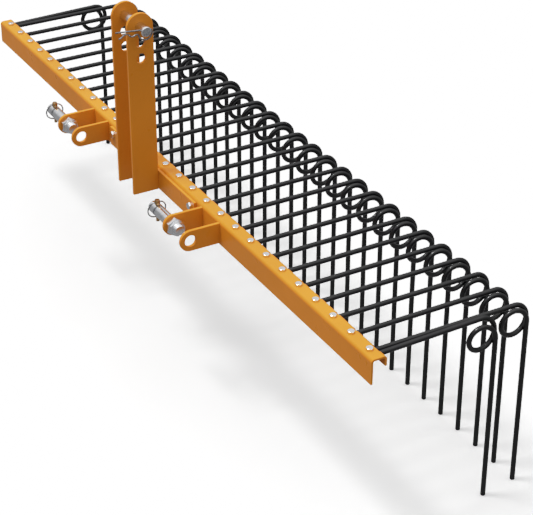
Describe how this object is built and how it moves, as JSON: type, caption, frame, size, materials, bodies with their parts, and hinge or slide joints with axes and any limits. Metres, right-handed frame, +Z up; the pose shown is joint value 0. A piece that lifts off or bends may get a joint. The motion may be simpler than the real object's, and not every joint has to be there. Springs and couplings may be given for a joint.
{
  "type": "lawn dethatcher",
  "caption": "Tractor-mounted lawn dethatcher: a channel rake bar carrying a row of coil-spring tines, with a two-plate mast and clevises for a three-point hitch.",
  "frame": {"origin": "on the ground that the tine tips touch, under the middle of the machine's length and depth", "axes": "+X along the rake bar, to the right for someone in front of the machine who looks at it, +Y to the rear, where the tines trail, +Z up"},
  "size_m": [1.5288, 0.4075, 0.6697],
  "materials": {
    "orange_paint": "glossy orange enamel",
    "black_spring_wire": "gloss black enamel on spring steel",
    "bright_zinc": "bright zinc plate",
    "pin_zinc": "bright zinc plate with fine machining marks",
    "yellow_zinc": "yellow-passivated zinc plate",
    "spring_steel": "oiled spring steel"
  },
  "bodies": {
    "machine": {"rake_bar": "orange_paint", "centre_plate": "orange_paint", "centre_plate_bolts": "bright_zinc", "centre_plate_nuts": "bright_zinc", "mast_plate_left": "orange_paint", "mast_plate_right": "orange_paint", "mast_welds": "orange_paint", "clevis_left_left_ear": "orange_paint", "clevis_left_right_ear": "orange_paint", "clevis_right_left_ear": "orange_paint", "clevis_right_right_ear": "orange_paint", "clevis_welds": "orange_paint", "hitch_pin_left": "pin_zinc", "hitch_pin_right": "pin_zinc", "hitch_pin_nut_left": "bright_zinc", "hitch_pin_nut_right": "bright_zinc", "jam_nut_left": "bright_zinc", "jam_nut_right": "bright_zinc", "tine_bolts": "bright_zinc", "tine_washers": "bright_zinc", "tine_nuts": "bright_zinc", "end_tine_left": "black_spring_wire", "end_tine_right": "black_spring_wire", "tine_01": "black_spring_wire", "tine_02": "black_spring_wire", "tine_03": "black_spring_wire", "tine_04": "black_spring_wire", "tine_05": "black_spring_wire", "tine_06": "black_spring_wire", "tine_07": "black_spring_wire", "tine_08": "black_spring_wire", "tine_09": "black_spring_wire", "tine_10": "black_spring_wire", "tine_11": "black_spring_wire", "tine_12": "black_spring_wire", "tine_13": "black_spring_wire", "tine_14": "black_spring_wire", "tine_15": "black_spring_wire", "tine_16": "black_spring_wire", "tine_17": "black_spring_wire", "tine_18": "black_spring_wire", "tine_19": "black_spring_wire", "tine_20": "black_spring_wire", "tine_21": "black_spring_wire", "tine_22": "black_spring_wire", "tine_23": "black_spring_wire", "tine_24": "black_spring_wire", "tine_25": "black_spring_wire", "tine_26": "black_spring_wire", "tine_27": "black_spring_wire", "tine_28": "black_spring_wire"},
    "top_link_pin": {"top_link_pin": "pin_zinc", "top_pin_clip": "spring_steel"},
    "linchpin_left": {"linchpin_left": "yellow_zinc"},
    "linchpin_right": {"linchpin_right": "yellow_zinc"},
    "linchpin_ring_left": {"linchpin_ring_left": "spring_steel"},
    "linchpin_ring_right": {"linchpin_ring_right": "spring_steel"}
  },
  "joints": [
    {"name": "top_link_pin_slide", "type": "slide", "parent": "machine", "child": "top_link_pin", "axis": [-1, 0, 0], "range_m": [0, 0.0165]},
    {"name": "linchpin_left_lift", "type": "slide", "parent": "machine", "child": "linchpin_left", "axis": [0, 0, 1], "range_m": [0, 0.004]},
    {"name": "linchpin_ring_left_swing", "type": "hinge", "parent": "linchpin_left", "child": "linchpin_ring_left", "pos_m": [-0.3264, -0.1767, 0.35115], "axis": [0, 1, 0], "range_deg": [0, 160]},
    {"name": "linchpin_right_lift", "type": "slide", "parent": "machine", "child": "linchpin_right", "axis": [0, 0, 1], "range_m": [0, 0.004]},
    {"name": "linchpin_ring_right_swing", "type": "hinge", "parent": "linchpin_right", "child": "linchpin_ring_right", "pos_m": [0.137, -0.1767, 0.35115], "axis": [0, 1, 0], "range_deg": [0, 160]}
  ]
}
